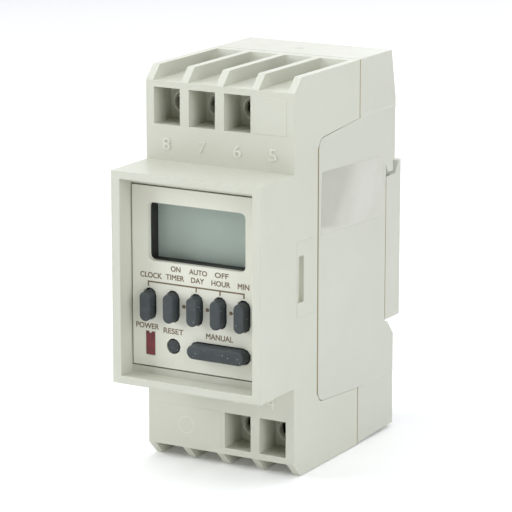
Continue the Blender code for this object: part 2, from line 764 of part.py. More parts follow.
def make_terminal(label, index, upper):
    """Captive screw, lift cage and bar of one terminal."""
    x = site_x(index)
    z = level((RECESS_TOP + RECESS_BOTTOM) / 2, upper)
    head = (
        (SCREW_HEAD_FRONT, SCREW_HEAD_R - 0.4), (SCREW_HEAD_FRONT + 0.4, SCREW_HEAD_R),
        (SCREW_HEAD_BACK, SCREW_HEAD_R), (SCREW_HEAD_BACK, SCREW_R), (SCREW_TIP - 0.4, SCREW_R),
        (SCREW_TIP, SCREW_R - 0.4),
    )
    pivot = (x, SCREW_HEAD_BACK, z)
    screw = piece("terminal_screw_" + label, turned(head, "y", (x, 0.0, z)), "steel", smooth=True)
    slot_back = SCREW_HEAD_FRONT + SLOT_DEPTH
    slot_half = SLOT_WIDTH / 2
    slot_low = (x - slot_half, SCREW_HEAD_FRONT - PAST, z - 3)
    cut(screw, block(slot_low, (x + slot_half, slot_back, z + 3)))
    set_origin(screw, pivot)
    low, high = span(CAGE_BOTTOM, CAGE_TOP, upper)
    cage_low = (x - CAGE_HALF, CAGE_FRONT, low)
    cage_high = (x + CAGE_HALF, CAGE_BACK, high)
    cage = piece("clamp_cage_" + label, block(cage_low, cage_high), "steel")
    inner = CAGE_HALF - CAGE_WALL
    mouth_low = (x - inner, CAGE_FRONT + CAGE_PLATE, low - PAST)
    cut(cage, block(mouth_low, (x + inner, CAGE_BACK - CAGE_WEB, high + PAST)))
    bore = ((CAGE_FRONT - PAST, SCREW_R + GAP), (CAGE_FRONT + CAGE_PLATE + PAST, SCREW_R + GAP))
    cut(cage, turned(bore, "y", (x, 0.0, z)))
    low, high = span(BAR_LOW, BAR_HIGH, upper)
    bar_low = (x - BAR_HALF, BAR_FRONT, low)
    bar_high = (x + BAR_HALF, BAR_FRONT + BAR_THICK, high)
    piece("terminal_bar_" + label, block(bar_low, bar_high), "brass")


def set_origin(obj, pivot):
    """Moves an object's origin to pivot without moving its shape."""
    for vertex in obj.data.vertices:
        vertex.co -= Vector(pivot) * MM
    obj.location = Vector(pivot) * MM


# Rail fixing

def make_latch():
    """Sliding latch with a spring window, a slanted nose and a notch for a screwdriver."""
    flange_low = (-LATCH_FLANGE_HALF, LATCH_FRONT, LATCH_BOTTOM)
    flange_high = (LATCH_FLANGE_HALF, LATCH_FLANGE_BACK, LATCH_FLANGE_TOP)
    latch = piece("rail_latch", block(flange_low, flange_high), "black_plastic")
    inside = LATCH_FRONT + 0.5
    nose = [
        (inside, LATCH_BOTTOM), (LATCH_BACK, LATCH_BOTTOM), (LATCH_BACK, LATCH_TIP - 2.0),
        (LATCH_TIP_FRONT + 0.4, LATCH_TIP), (LATCH_TIP_FRONT, LATCH_TIP),
        (LATCH_TIP_FRONT, LATCH_FLANGE_TOP - 1), (inside, LATCH_FLANGE_TOP - 1),
    ]
    join(latch, extruded(nose, "x", -LATCH_HALF, LATCH_HALF))
    cut(latch, block((-1.8, LATCH_FRONT - PAST, 4.0), (1.8, LATCH_BACK - 0.4, SPRING_HIGH + GAP)))
    cut(latch, block((-2.6, LATCH_BACK - 1.2, 1.8), (2.6, LATCH_BACK + PAST, 3.6)))


def make_latch_spring():
    """Helix of round wire between the post in the housing and the latch."""
    points = SPRING_TURNS * 10
    sides = 4
    rise = SPRING_HIGH - SPRING_LOW - 2 * SPRING_WIRE_R
    bm = bmesh.new()
    rings = []
    for i in range(points + 1):
        angle = 2 * math.pi * SPRING_TURNS * i / points
        outward = Vector((math.cos(angle), math.sin(angle), 0.0))
        height = SPRING_LOW + SPRING_WIRE_R + rise * i / points
        centre = Vector((0.0, SPRING_Y, height)) + outward * SPRING_R
        ring = []
        for side in range(sides):
            turn = 2 * math.pi * side / sides + math.pi / 4
            offset = outward * math.cos(turn) + Vector((0.0, 0.0, 1.0)) * math.sin(turn)
            ring.append(bm.verts.new(centre + offset * SPRING_WIRE_R))
        rings.append(ring)
    bm.faces.new(rings[0])
    bm.faces.new(rings[-1])
    for near, far in zip(rings, rings[1:]):
        for i in range(sides):
            j = (i + 1) % sides
            bm.faces.new((near[i], near[j], far[j], far[i]))
    bmesh.ops.recalc_face_normals(bm, faces=bm.faces)
    piece("latch_spring", bm, "steel", smooth=True)


def make_adapter():
    """Wall plate with the outline of a 35 mm rail, a notch for the latch and two screw holes."""
    outline = [
        (ADAPTER_FRONT, ADAPTER_BOTTOM), (ADAPTER_FRONT, ADAPTER_TOP), (60.4, ADAPTER_TOP + 0.1),
        (62.0, ADAPTER_LIP - 0.2), (DEPTH, ADAPTER_LIP), (DEPTH, ADAPTER_BOTTOM),
    ]
    adapter = piece("surface_adapter", extruded(outline, "x", -HALF, HALF), "housing")
    cut(adapter, block((-7.2, 57.3, ADAPTER_BOTTOM - 1), (7.2, LATCH_BACK + 0.5, LATCH_TIP + 0.5)))
    before = ADAPTER_FRONT - PAST
    bore = ((before, ADAPTER_HOLE_R), (DEPTH + PAST, ADAPTER_HOLE_R))
    sink = ((before, ADAPTER_SINK_R), (ADAPTER_FRONT + ADAPTER_SINK_DEEP, ADAPTER_SINK_R))
    for x, z in ADAPTER_SCREWS:
        cut(adapter, turned(bore, "y", (x, 0.0, z)))
        cut(adapter, turned(sink, "y", (x, 0.0, z)))


def main():
    clear_scene()
    make_frame()
    make_front_case()
    make_rear_case()
    make_face_panel()
    make_display()
    make_keys()
    make_led()
    make_display_board()
    make_power_board()
    make_relay()
    for label, index, upper in LIVE:
        make_terminal(label, index, upper)
    make_latch()
    make_latch_spring()
    make_adapter()


main()
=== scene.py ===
"""Two-module DIN rail time switch: moulded housing, rubber keys, blank display and terminals.

Shapes are made in millimetres in the maker's frame: x across the front, y back from the
bezel's front edge, z up from the lower ribs.  place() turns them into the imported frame.
"""

import math

import bmesh
import bpy
from mathutils import Matrix, Vector


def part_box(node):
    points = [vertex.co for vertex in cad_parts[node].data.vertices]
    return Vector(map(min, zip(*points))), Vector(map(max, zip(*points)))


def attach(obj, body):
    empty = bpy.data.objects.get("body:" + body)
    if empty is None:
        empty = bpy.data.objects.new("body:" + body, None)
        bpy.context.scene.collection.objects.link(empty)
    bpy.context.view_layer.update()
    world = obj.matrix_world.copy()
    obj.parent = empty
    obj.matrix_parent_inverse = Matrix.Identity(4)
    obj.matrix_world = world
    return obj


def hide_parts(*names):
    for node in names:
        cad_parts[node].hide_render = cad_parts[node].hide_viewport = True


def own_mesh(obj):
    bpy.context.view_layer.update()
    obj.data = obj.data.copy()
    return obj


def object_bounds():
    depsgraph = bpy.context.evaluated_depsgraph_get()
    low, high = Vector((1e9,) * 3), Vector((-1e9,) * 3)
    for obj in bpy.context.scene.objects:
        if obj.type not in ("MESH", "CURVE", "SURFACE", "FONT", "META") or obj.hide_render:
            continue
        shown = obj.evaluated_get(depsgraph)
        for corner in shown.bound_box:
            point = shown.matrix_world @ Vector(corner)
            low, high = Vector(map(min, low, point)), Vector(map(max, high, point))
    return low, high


MM = 0.001

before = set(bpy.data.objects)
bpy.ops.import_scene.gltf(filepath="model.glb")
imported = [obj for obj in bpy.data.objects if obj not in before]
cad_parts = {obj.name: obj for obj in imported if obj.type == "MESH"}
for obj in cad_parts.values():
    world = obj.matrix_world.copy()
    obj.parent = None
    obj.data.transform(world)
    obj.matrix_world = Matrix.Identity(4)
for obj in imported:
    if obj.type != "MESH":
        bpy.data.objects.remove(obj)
cad_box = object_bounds()
FRONT_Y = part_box("front_case")[0].y


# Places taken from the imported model, in millimetres

def spot(node):
    """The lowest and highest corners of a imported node, in the maker's frame."""
    low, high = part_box(node)
    shift = Vector((0.0, FRONT_Y, 0.0))
    return (low - shift) / MM, (high - shift) / MM


def middle(node):
    """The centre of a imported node's box, in the maker's frame."""
    low, high = spot(node)
    return (low + high) / 2


CASE_HIGH = spot("front_case")[1]
LABEL_LOW, LABEL_HIGH = spot("rating_label")
HALF = CASE_HIGH.x
PANEL_Y = spot("face_panel")[0].y
# The face of both terminal shoulders, the edge of the cut-out that a side tongue fills,
# the tongue's own front, and the middle of the seam between the two housings.
SHOULDER_Y = 14.2
CUT_OUT_Y = 24.8
TONGUE_Y = 24.95
SEAM_Y = 43.5
TERMINALS = ("8", "7", "6", "3", "4")
# Only edges that turn more than this many degrees are rounded.
SHARP = 25.0


# Mesh helpers

def place(bm):
    """Turns millimetres in the maker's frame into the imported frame."""
    bmesh.ops.scale(bm, vec=(MM, MM, MM), verts=bm.verts)
    bmesh.ops.translate(bm, vec=(0.0, FRONT_Y, 0.0), verts=bm.verts)


def make_piece(name, bm, body, material, replaces=(), smooth=None):
    """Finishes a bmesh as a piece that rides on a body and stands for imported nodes."""
    if smooth is not None:
        for face in bm.faces:
            face.smooth = True
    place(bm)
    mesh = bpy.data.meshes.new(name)
    bm.to_mesh(mesh)
    bm.free()
    if smooth is not None:
        mesh.set_sharp_from_angle(angle=math.radians(smooth))
    mesh.materials.append(material)
    obj = bpy.data.objects.new(name, mesh)
    bpy.context.scene.collection.objects.link(obj)
    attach(obj, body)
    if replaces:
        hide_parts(*replaces)
    return obj


def packed_shape(node):
    """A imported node's shape in millimetres, merged, with no lines across its flat faces."""
    bm = bmesh.new()
    bm.from_mesh(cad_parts[node].data)
    bmesh.ops.remove_doubles(bm, verts=bm.verts, dist=0.001 * MM)
    bmesh.ops.translate(bm, vec=(0.0, -FRONT_Y, 0.0), verts=bm.verts)
    bmesh.ops.scale(bm, vec=(1 / MM, 1 / MM, 1 / MM), verts=bm.verts)
    bmesh.ops.dissolve_limit(bm, angle_limit=math.radians(0.5), verts=bm.verts, edges=bm.edges)
    return bm


def soften(bm, width, segments):
    """Rounds the sharp edges, and smooths only the rounded strips."""
    edges = [
        edge for edge in bm.edges
        if edge.is_manifold and math.degrees(edge.calc_face_angle(0.0)) > SHARP
    ]
    rounded = bmesh.ops.bevel(
        bm, geom=edges, offset=width, offset_type="OFFSET", segments=segments,
        affect="EDGES", profile=0.5, material=-1, clamp_overlap=True,
    )
    for face in rounded["faces"]:
        face.smooth = True


def box(low, high):
    """A block between its lowest and highest corners."""
    bm = bmesh.new()
    bmesh.ops.create_cube(bm, size=1.0)
    bmesh.ops.scale(bm, vec=Vector(high) - Vector(low), verts=bm.verts)
    bmesh.ops.translate(bm, vec=(Vector(low) + Vector(high)) / 2, verts=bm.verts)
    return bm


def merge(bm, other):
    """Adds the other bmesh to bm as one more shell."""
    scratch = bpy.data.meshes.new("scratch")
    other.to_mesh(scratch)
    other.free()
    bm.from_mesh(scratch)
    bpy.data.meshes.remove(scratch)


def ring_at(bm, radius, run, y, segments):
    """A circle facing along y, drawn out into a slot by run = (across, up)."""
    turn = Matrix.Rotation(math.radians(90), 4, "X")
    made = bmesh.ops.create_circle(bm, segments=segments, radius=radius, matrix=turn)
    for vert in made["verts"]:
        vert.co.y = y
        for axis, amount in ((0, run[0]), (2, run[1])):
            if amount:
                vert.co[axis] += math.copysign(amount, vert.co[axis])
    return list({edge for vert in made["verts"] for edge in vert.link_edges})


def layered(layers, run=(0.0, 0.0), segments=48):
    """A closed solid through slot-shaped rings of (y, radius), from front to back."""
    bm = bmesh.new()
    loops = [ring_at(bm, radius, run, y, segments) for y, radius in layers]
    for near, far in zip(loops, loops[1:]):
        bmesh.ops.bridge_loops(bm, edges=near + far)
    for loop in (loops[0], loops[-1]):
        bmesh.ops.edgenet_fill(bm, edges=loop)
    bmesh.ops.recalc_face_normals(bm, faces=bm.faces)
    return bm


def spun(profile, axis, centre, steps=32):
    """A ring or round solid from a closed (along, radius) profile turned about y or z."""
    bm = bmesh.new()
    along = "xyz".index(axis)
    verts = []
    for reach, radius in profile:
        corner = Vector((radius, 0.0, 0.0))
        corner[along] = reach
        verts.append(bm.verts.new(corner))
    edges = [bm.edges.new(pair) for pair in zip(verts, verts[1:] + verts[:1])]
    direction = Vector((0.0, 0.0, 0.0))
    direction[along] = 1.0
    bmesh.ops.spin(
        bm, geom=verts + edges, cent=(0.0, 0.0, 0.0), axis=direction, dvec=(0.0, 0.0, 0.0),
        angle=math.tau, steps=steps, use_merge=True, use_duplicate=False,
    )
    bmesh.ops.remove_doubles(bm, verts=bm.verts, dist=0.0005)
    bmesh.ops.recalc_face_normals(bm, faces=bm.faces)
    bmesh.ops.translate(bm, vec=centre, verts=bm.verts)
    return bm


def word(text, x_low, x_high, z_low, z_high, front, back, bevel=0.0):
    """One word of plain raised or printed type, fitted to its place on a front face."""
    curve = bpy.data.curves.new("word", "FONT")
    curve.body = text
    curve.resolution_u = 6
    curve.extrude = 0.5
    holder = bpy.data.objects.new("word", curve)
    bpy.context.scene.collection.objects.link(holder)
    bpy.context.view_layer.update()
    mesh = bpy.data.meshes.new_from_object(holder)
    bpy.data.objects.remove(holder)
    bpy.data.curves.remove(curve)
    bm = bmesh.new()
    bm.from_mesh(mesh)
    bpy.data.meshes.remove(mesh)
    bmesh.ops.remove_doubles(bm, verts=bm.verts, dist=0.0001)
    bmesh.ops.rotate(bm, matrix=Matrix.Rotation(math.radians(90), 3, "X"), verts=bm.verts)
    low = Vector([min(v.co[i] for v in bm.verts) for i in range(3)])
    high = Vector([max(v.co[i] for v in bm.verts) for i in range(3)])
    size = high - low
    bmesh.ops.translate(bm, vec=-low, verts=bm.verts)
    stretch = ((x_high - x_low) / size.x, (back - front) / size.y, (z_high - z_low) / size.z)
    bmesh.ops.scale(bm, vec=stretch, verts=bm.verts)
    bmesh.ops.translate(bm, vec=(x_low, front, z_low), verts=bm.verts)
    if bevel:
        rim = [
            edge for edge in bm.edges
            if edge.is_manifold and edge.calc_face_angle(0.0) > 1.0
            and all(vert.co.y < (front + back) / 2 for vert in edge.verts)
        ]
        bmesh.ops.bevel(
            bm, geom=rim, offset=bevel, segments=2, affect="EDGES", profile=0.5, material=-1,
            clamp_overlap=True,
        )
    return bm


# Material helpers

def hex_colour(text):
    """An sRGB hex colour as linear values, opaque."""
    values = [int(text[i:i + 2], 16) / 255 for i in (0, 2, 4)]
    linear = [v / 12.92 if v <= 0.04045 else ((v + 0.055) / 1.055) ** 2.4 for v in values]
    return (*linear, 1.0)


def add_node(tree, kind, inputs=None, **settings):
    """Adds a node, with its settings, and its inputs as values or as sockets to link."""
    made = tree.nodes.new(kind)
    for name, value in settings.items():
        setattr(made, name, value)
    for name, value in (inputs or {}).items():
        if isinstance(value, bpy.types.NodeSocket):
            tree.links.new(value, made.inputs[name])
        else:
            made.inputs[name].default_value = value
    return made


def new_material(name):
    """An empty material: its tree, its shader and the place on the object in metres."""
    material = bpy.data.materials.new(name)
    material.use_nodes = True
    tree = material.node_tree
    shader = tree.nodes["Principled BSDF"]
    where = add_node(tree, "ShaderNodeTexCoord").outputs["Object"]
    return material, tree, shader, where


def per_mm(period):
    """The texture scale that repeats about once in this many millimetres."""
    return 1 / (period * MM)


def two_tone(tree, factor, low, high, low_at=0.35, high_at=0.65):
    """A ramp between two hex colours over a noise value."""
    ramp = add_node(tree, "ShaderNodeValToRGB", {"Fac": factor})
    ramp.color_ramp.elements[0].position = low_at
    ramp.color_ramp.elements[0].color = hex_colour(low)
    ramp.color_ramp.elements[1].position = high_at
    ramp.color_ramp.elements[1].color = hex_colour(high)
    return ramp.outputs["Color"]


def moulded(
        name, light, dark, roughness, grain=0.3, depth=0.0035, speck="8A8474", clean=0.93):
    """Injection-moulded thermoplastic: even colour with faint flow, a fine eroded grain
    from the mould, and a few specks of dust that catch on it."""
    material, tree, shader, where = new_material(name)
    # The melt's flow shows as clouds about 14 mm across.
    flow = add_node(
        tree, "ShaderNodeTexNoise", {"Vector": where, "Scale": per_mm(14), "Detail": 3.0},
    )
    base = two_tone(tree, flow.outputs["Fac"], dark, light, 0.3, 0.7)
    # Specks about 0.3 mm across: at most one in a cell of 5.5 mm, and most cells have none.
    dust = add_node(
        tree, "ShaderNodeTexVoronoi", {"Vector": where, "Scale": per_mm(5.5), "Randomness": 1.0},
    )
    near = add_node(
        tree, "ShaderNodeMapRange",
        {"Value": dust.outputs["Distance"], "From Min": 0.015, "From Max": 0.032,
         "To Min": 1.0, "To Max": 0.0},
    )
    chance = add_node(
        tree, "ShaderNodeMath", {0: dust.outputs["Color"], 1: clean}, operation="GREATER_THAN",
    )
    amount = add_node(
        tree, "ShaderNodeMath", {0: near.outputs["Result"], 1: chance.outputs["Value"]},
        operation="MULTIPLY",
    )
    tint = add_node(
        tree, "ShaderNodeMix",
        {"Factor": amount.outputs["Value"], "A": base, "B": hex_colour(speck)},
        data_type="RGBA",
    )
    tree.links.new(tint.outputs["Result"], shader.inputs["Base Color"])
    # Eroded grain is really about 0.05 mm across: it is drawn coarser, so that it shows.
    fine = add_node(
        tree, "ShaderNodeTexNoise",
        {"Vector": where, "Scale": per_mm(grain), "Detail": 4.0, "Roughness": 0.6},
    )
    bump = add_node(
        tree, "ShaderNodeBump",
        {"Height": fine.outputs["Fac"], "Distance": depth * MM, "Strength": 1.0},
    )
    tree.links.new(bump.outputs["Normal"], shader.inputs["Normal"])
    # Patches about 6 mm across, where hands have polished or dulled the skin.
    handled = add_node(
        tree, "ShaderNodeTexNoise", {"Vector": where, "Scale": per_mm(6), "Detail": 5.0},
    )
    gloss = add_node(
        tree, "ShaderNodeMapRange",
        {"Value": handled.outputs["Fac"], "From Min": 0.3, "From Max": 0.7,
         "To Min": roughness - 0.05, "To Max": roughness + 0.07},
    )
    tree.links.new(gloss.outputs["Result"], shader.inputs["Roughness"])
    shader.inputs["IOR"].default_value = 1.53
    return material


def dyed_rubber(name, light, dark):
    """Moulded silicone rubber: dull slate, slightly mottled, and it holds pale lint."""
    material, tree, shader, where = new_material(name)
    # The dye's mottling is about 2 mm across.
    cloud = add_node(
        tree, "ShaderNodeTexNoise", {"Vector": where, "Scale": per_mm(2.2), "Detail": 4.0},
    )
    base = two_tone(tree, cloud.outputs["Fac"], dark, light)
    # Lint about 0.2 mm across: at most one bit in a cell, and most cells have none.
    lint = add_node(tree, "ShaderNodeTexVoronoi", {"Vector": where, "Scale": per_mm(0.75)})
    near = add_node(
        tree, "ShaderNodeMapRange",
        {"Value": lint.outputs["Distance"], "From Min": 0.09, "From Max": 0.17,
         "To Min": 0.9, "To Max": 0.0},
    )
    chance = add_node(
        tree, "ShaderNodeMath", {0: lint.outputs["Color"], 1: 0.6},
        operation="GREATER_THAN",
    )
    amount = add_node(
        tree, "ShaderNodeMath", {0: near.outputs["Result"], 1: chance.outputs["Value"]},
        operation="MULTIPLY",
    )
    tint = add_node(
        tree, "ShaderNodeMix",
        {"Factor": amount.outputs["Value"], "A": base, "B": hex_colour("A9B0B2")},
        data_type="RGBA",
    )
    tree.links.new(tint.outputs["Result"], shader.inputs["Base Color"])
    # The skin's texture is drawn at 0.25 mm, several times coarser than it is.
    fine = add_node(
        tree, "ShaderNodeTexNoise", {"Vector": where, "Scale": per_mm(0.25), "Detail": 3.0},
    )
    bump = add_node(
        tree, "ShaderNodeBump", {"Height": fine.outputs["Fac"], "Distance": 0.012 * MM},
    )
    tree.links.new(bump.outputs["Normal"], shader.inputs["Normal"])
    shader.inputs["Roughness"].default_value = 0.62
    shader.inputs["IOR"].default_value = 1.41
    return material


def worked_metal(name, light, dark, roughness, stretch, period=0.5):
    """Drawn, stamped or plated metal, with fine marks along the way it was worked."""
    material, tree, shader, where = new_material(name)
    # Real marks are under 0.1 mm wide: they are drawn coarser, so that they show.
    squeezed = add_node(tree, "ShaderNodeMapping", {"Vector": where, "Scale": stretch})
    marks = add_node(
        tree, "ShaderNodeTexNoise",
        {"Vector": squeezed.outputs["Vector"], "Scale": per_mm(period), "Detail": 5.0,
         "Roughness": 0.65},
    )
    base = two_tone(tree, marks.outputs["Fac"], dark, light)
    tree.links.new(base, shader.inputs["Base Color"])
    gloss = add_node(
        tree, "ShaderNodeMapRange",
        {"Value": marks.outputs["Fac"], "From Min": 0.3, "From Max": 0.7,
         "To Min": roughness - 0.08, "To Max": roughness + 0.1},
    )
    tree.links.new(gloss.outputs["Result"], shader.inputs["Roughness"])
    bump = add_node(
        tree, "ShaderNodeBump", {"Height": marks.outputs["Fac"], "Distance": 0.01 * MM},
    )
    tree.links.new(bump.outputs["Normal"], shader.inputs["Normal"])
    shader.inputs["Metallic"].default_value = 1.0
    return material


def glossy_shell(name, light, dark, roughness, coat=0.3):
    """Dipped, potted or sleeved insulation with a wet-looking skin."""
    material, tree, shader, where = new_material(name)
    # The skin sags and wrinkles over about 1.5 mm.
    cloud = add_node(
        tree, "ShaderNodeTexNoise", {"Vector": where, "Scale": per_mm(1.5), "Detail": 3.0},
    )
    base = two_tone(tree, cloud.outputs["Fac"], dark, light)
    tree.links.new(base, shader.inputs["Base Color"])
    bump = add_node(
        tree, "ShaderNodeBump", {"Height": cloud.outputs["Fac"], "Distance": 0.03 * MM},
    )
    tree.links.new(bump.outputs["Normal"], shader.inputs["Normal"])
    shader.inputs["Roughness"].default_value = roughness
    shader.inputs["Coat Weight"].default_value = coat
    shader.inputs["Coat Roughness"].default_value = 0.08
    shader.inputs["IOR"].default_value = 1.5
    return material


def display_glass(name):
    """Reflective liquid crystal behind a polariser: flat grey-green with a faint sheen."""
    material, tree, shader, where = new_material(name)
    # The polariser's grain is drawn at 0.3 mm, several times coarser than it is.
    grain = add_node(
        tree, "ShaderNodeTexNoise", {"Vector": where, "Scale": per_mm(0.3), "Detail": 2.0},
    )
    base = two_tone(tree, grain.outputs["Fac"], "A4B3A6", "ACBBAE", 0.3, 0.7)
    tree.links.new(base, shader.inputs["Base Color"])
    shader.inputs["Roughness"].default_value = 0.35
    shader.inputs["IOR"].default_value = 1.5
    return material


def clear_pane(name):
    """Moulded clear acrylic, thin enough that it only adds a faint reflection."""
    material, tree, shader, where = new_material(name)
    # Finger marks about 3 mm across.
    haze = add_node(
        tree, "ShaderNodeTexNoise", {"Vector": where, "Scale": per_mm(3), "Detail": 4.0},
    )
    veil = add_node(
        tree, "ShaderNodeMapRange",
        {"Value": haze.outputs["Fac"], "From Min": 0.3, "From Max": 0.7,
         "To Min": 0.05, "To Max": 0.07},
    )
    tree.links.new(veil.outputs["Result"], shader.inputs["Alpha"])
    shader.inputs["Base Color"].default_value = hex_colour("C9D2CC")
    shader.inputs["Roughness"].default_value = 0.06
    shader.inputs["IOR"].default_value = 1.49
    return material


def tinted_lens(name):
    """Diffusing red epoxy of an unlit lamp: deep wine red with a waxy skin."""
    material, tree, shader, where = new_material(name)
    # The diffuser clouds the epoxy over about 1.2 mm.
    cloud = add_node(
        tree, "ShaderNodeTexNoise", {"Vector": where, "Scale": per_mm(1.2), "Detail": 2.0},
    )
    base = two_tone(tree, cloud.outputs["Fac"], "600B0E", "701518", 0.4, 0.6)
    tree.links.new(base, shader.inputs["Base Color"])
    shader.inputs["Roughness"].default_value = 0.3
    shader.inputs["IOR"].default_value = 1.5
    return material


def masked_board(name):
    """Glass-epoxy circuit board: green solder mask over a grid of copper tracks."""
    material, tree, shader, where = new_material(name)
    # Areas of copper about 5 mm long and 2 mm apart, with gaps of 0.1 mm between them.
    cells = add_node(
        tree, "ShaderNodeTexBrick",
        {"Vector": where, "Scale": per_mm(3.2), "Color1": hex_colour("1F6B33"),
         "Color2": hex_colour("2A7A3C"), "Mortar": hex_colour("134A22"), "Mortar Size": 0.03,
         "Brick Width": 1.7, "Row Height": 0.6},
    )
    tree.links.new(cells.outputs["Color"], shader.inputs["Base Color"])
    bump = add_node(
        tree, "ShaderNodeBump", {"Height": cells.outputs["Fac"], "Distance": 0.03 * MM},
    )
    tree.links.new(bump.outputs["Normal"], shader.inputs["Normal"])
    shader.inputs["Roughness"].default_value = 0.3
    return material


def wound_wire(name):
    """Enamelled copper wire laid turn by turn round a coil."""
    material, tree, shader, where = new_material(name)
    # The wire is really 0.1 mm thick: its turns are drawn coarser, so that they show.
    turns = add_node(
        tree, "ShaderNodeTexWave",
        {"Vector": where, "Scale": per_mm(0.9), "Distortion": 0.4, "Detail": 1.0},
        wave_type="BANDS", bands_direction="Z",
    )
    base = two_tone(tree, turns.outputs["Fac"], "5A2410", "B4622C", 0.2, 0.8)
    tree.links.new(base, shader.inputs["Base Color"])
    bump = add_node(
        tree, "ShaderNodeBump", {"Height": turns.outputs["Fac"], "Distance": 0.08 * MM},
    )
    tree.links.new(bump.outputs["Normal"], shader.inputs["Normal"])
    shader.inputs["Roughness"].default_value = 0.35
    shader.inputs["Metallic"].default_value = 0.6
    return material


def label_film(name):
    """Blank polyester label: clear gloss over silver-grey, a little uneven where stuck."""
    material, tree, shader, where = new_material(name)
    # The film stands off in shallow waves about 9 mm across.
    wave = add_node(
        tree, "ShaderNodeTexNoise", {"Vector": where, "Scale": per_mm(9), "Detail": 2.0},
    )
    base = two_tone(tree, wave.outputs["Fac"], "BBBBAF", "C1C1B6")
    tree.links.new(base, shader.inputs["Base Color"])
    bump = add_node(
        tree, "ShaderNodeBump", {"Height": wave.outputs["Fac"], "Distance": 0.006 * MM},
    )
    tree.links.new(bump.outputs["Normal"], shader.inputs["Normal"])
    shader.inputs["Roughness"].default_value = 0.05
    shader.inputs["IOR"].default_value = 1.65
    return material


def screen_ink(name):
    """Pad-printed ink, a dull brown-grey that covers a little unevenly."""
    material, tree, shader, where = new_material(name)
    # The pad leaves thin places about 0.5 mm across.
    cover = add_node(
        tree, "ShaderNodeTexNoise", {"Vector": where, "Scale": per_mm(0.5), "Detail": 3.0},
    )
    base = two_tone(tree, cover.outputs["Fac"], "66573D", "76674C")
    tree.links.new(base, shader.inputs["Base Color"])
    shader.inputs["Roughness"].default_value = 0.55
    return material


HOUSING = moulded("Front housing, ABS with a fine eroded finish", "C4C5B7", "C1C2B3", 0.36)
# Painted highlight: lighter than the housing, for the raised numbers, the ejector's ring and the
# driver collars.
RAISED_HIGHLIGHT = moulded(
    "Raised characters, ABS painted lighter as a highlight", "D2D3C7", "CECFC2", 0.35, depth=0.001,
)
# Painted shade: a dark tan laid in the seams and gaps, where shade falls.
SEAM_SHADE = moulded(
    "Tan painted shade in the seams", "A08F66", "8F7F58", 0.8, grain=0.2, depth=0.01,
)
REAR = moulded(
    "Rear housing, ABS with a smooth finish", "C3C4B7", "C0C1B4", 0.34, depth=0.0015,
)
ADAPTER = moulded("Mounting adapter, ABS", "C3C4B7", "C0C1B4", 0.36, depth=0.002)
PANEL = moulded(
    "Face panel, ABS with a matt finish", "D9D9CB", "D6D6C7", 0.48, grain=0.22, depth=0.002,
)
RUBBER = dyed_rubber("Slate silicone rubber", "3B4142", "323738")
BLACK = moulded(
    "Black moulded polycarbonate", "242220", "1B1A18", 0.5, speck="555555", clean=0.97,
)
STRIP = dyed_rubber("Layered conductive rubber", "1C1C1C", "101010")
LATCH = moulded(
    "Glass-filled nylon latch", "2A2A29", "202020", 0.55, grain=0.5, depth=0.02, clean=0.97,
)
RELAY = moulded("Relay cover, black polyester", "20242A", "181B20", 0.38, clean=0.98)
INK = screen_ink("Pad-printed legend ink")
LCD = display_glass("Reflective display cell")
PANE = clear_pane("Clear acrylic pane")
LENS = tinted_lens("Red diffusing epoxy")
BOARD = masked_board("Solder-masked glass epoxy")
TINNED = worked_metal("Tinned steel", "C4C2BC", "A5A39D", 0.32, (1.0, 6.0, 1.0))
ZINC = worked_metal(
    "Zinc-plated steel, passivated yellow-brown", "A8957A", "6A5A48", 0.36, (1.0, 1.0, 5.0), 0.4,
)
SPRING = worked_metal("Drawn spring steel", "9A9A98", "6F6F6E", 0.3, (3.0, 3.0, 1.0))
BRASS = worked_metal("Rolled brass", "C9A356", "9C7A38", 0.33, (1.0, 1.0, 6.0))
COPPER = wound_wire("Enamelled copper winding")
FILM_BOX = glossy_shell("Potted yellow film capacitor", "C9A12C", "B38D22", 0.35)
SLEEVE = glossy_shell("Shrunk blue sleeve", "1E3260", "15244A", 0.3)
EPOXY = glossy_shell("Dipped blue epoxy", "24459A", "193376", 0.25, coat=0.6)
CEMENT = moulded("Cement-coated ceramic", "A3927A", "8C7C66", 0.75, grain=0.3, depth=0.03)
LABEL = label_film("Blank polyester label film")


# Housing

def flush_label_recess(bm):
    """Closes the label's shallow recess, because the film is laid on the surface."""
    for vert in bm.verts:
        in_height = LABEL_LOW.z - 0.3 < vert.co.z < LABEL_HIGH.z + 0.3
        in_depth = LABEL_LOW.y - 0.3 < vert.co.y < LABEL_HIGH.y + 0.3
        if vert.co.x > HALF - 0.6 and in_height and in_depth:
            vert.co.x = HALF
    bmesh.ops.remove_doubles(bm, verts=bm.verts, dist=0.001)
    bmesh.ops.dissolve_limit(bm, angle_limit=math.radians(0.5), verts=bm.verts, edges=bm.edges)


def step_in_sides(bm):
    """Sets the sides in a little, above and below the band that the tongues grow from."""
    # Each slope's start and end heights, how far it goes in, and which way it climbs.
    upper = (73.3, 73.8, 0.16, 1)
    lower = (13.15, 12.85, 0.1, -1)
    for start, end, inset, way in (upper, lower):
        for z in (start, end):
            bmesh.ops.bisect_plane(
                bm, geom=bm.verts[:] + bm.edges[:] + bm.faces[:], plane_co=(0.0, 0.0, z),
                plane_no=(0.0, 0.0, 1.0),
            )
        for vert in bm.verts:
            beyond = way * (vert.co.z - end) > -0.01
            if beyond and abs(vert.co.x) > HALF - 0.01 and vert.co.y > SEAM_Y + 0.1:
                vert.co.x -= math.copysign(inset, vert.co.x)


def on_side_edge(edge, y):
    """Whether an edge runs up a side face at this depth and turns a corner there."""
    at_y = all(
        abs(abs(vert.co.x) - HALF) < 0.01 and abs(vert.co.y - y) < 0.3 for vert in edge.verts
    )
    tall = abs(edge.verts[0].co.z - edge.verts[1].co.z) > 0.9
    return at_y and tall and edge.calc_face_angle(0.0) > 1.0


